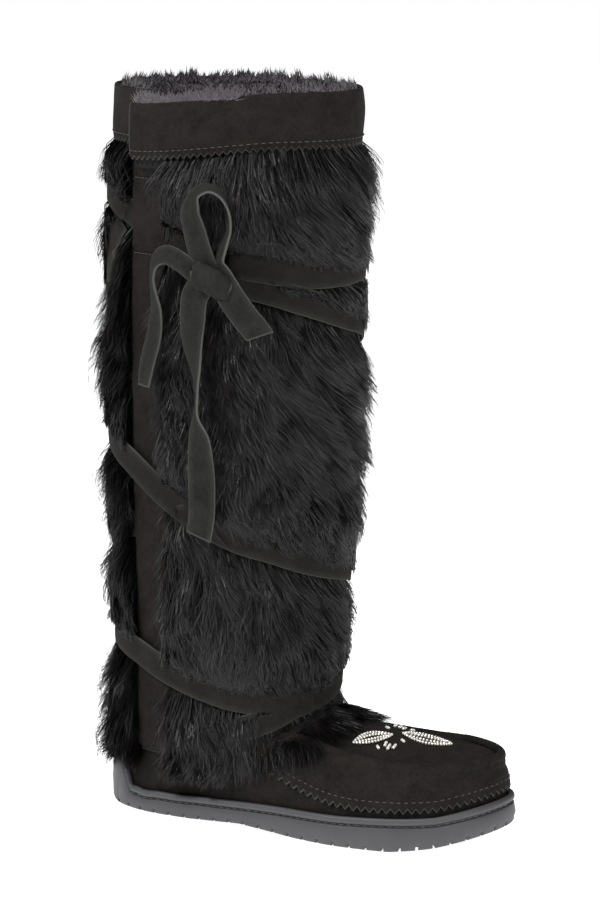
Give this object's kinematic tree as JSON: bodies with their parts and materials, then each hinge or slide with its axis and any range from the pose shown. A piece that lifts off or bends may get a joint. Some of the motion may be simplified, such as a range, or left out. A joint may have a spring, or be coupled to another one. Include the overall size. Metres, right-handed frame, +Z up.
{
  "type": "mukluk boot",
  "caption": "Tall right-foot mukluk boot: suede moccasin in a rubber cup sole, with a lapped rabbit fur leg wound with suede ties and a bow",
  "frame": {"origin": "on the floor under the middle of the heel", "axes": "+X to the toe, +Y to the inner side of the foot, +Z up the leg"},
  "size_m": [0.2789, 0.1617, 0.468],
  "materials": {
    "moulded_rubber": "satin dark grey",
    "suede": "napped black",
    "suede_strap": "napped, raw edges",
    "rabbit_fur": "long glossy hair",
    "sheepskin": "plum-grey pile"
  },
  "bodies": {
    "root": {"outsole": "moulded_rubber", "insole": "sheepskin", "foot_upper": "suede", "vamp": "suede", "toe_plug": "suede", "fur_shaft": "rabbit_fur", "collar_band": "suede", "placket": "suede", "leg_ties": "suede_strap", "tie_knot": "suede_strap", "tie_loop": "suede_strap", "tie_end_left": "suede_strap", "tie_end_short": "suede_strap", "tie_end_long": "suede_strap"}
  },
  "joints": []
}
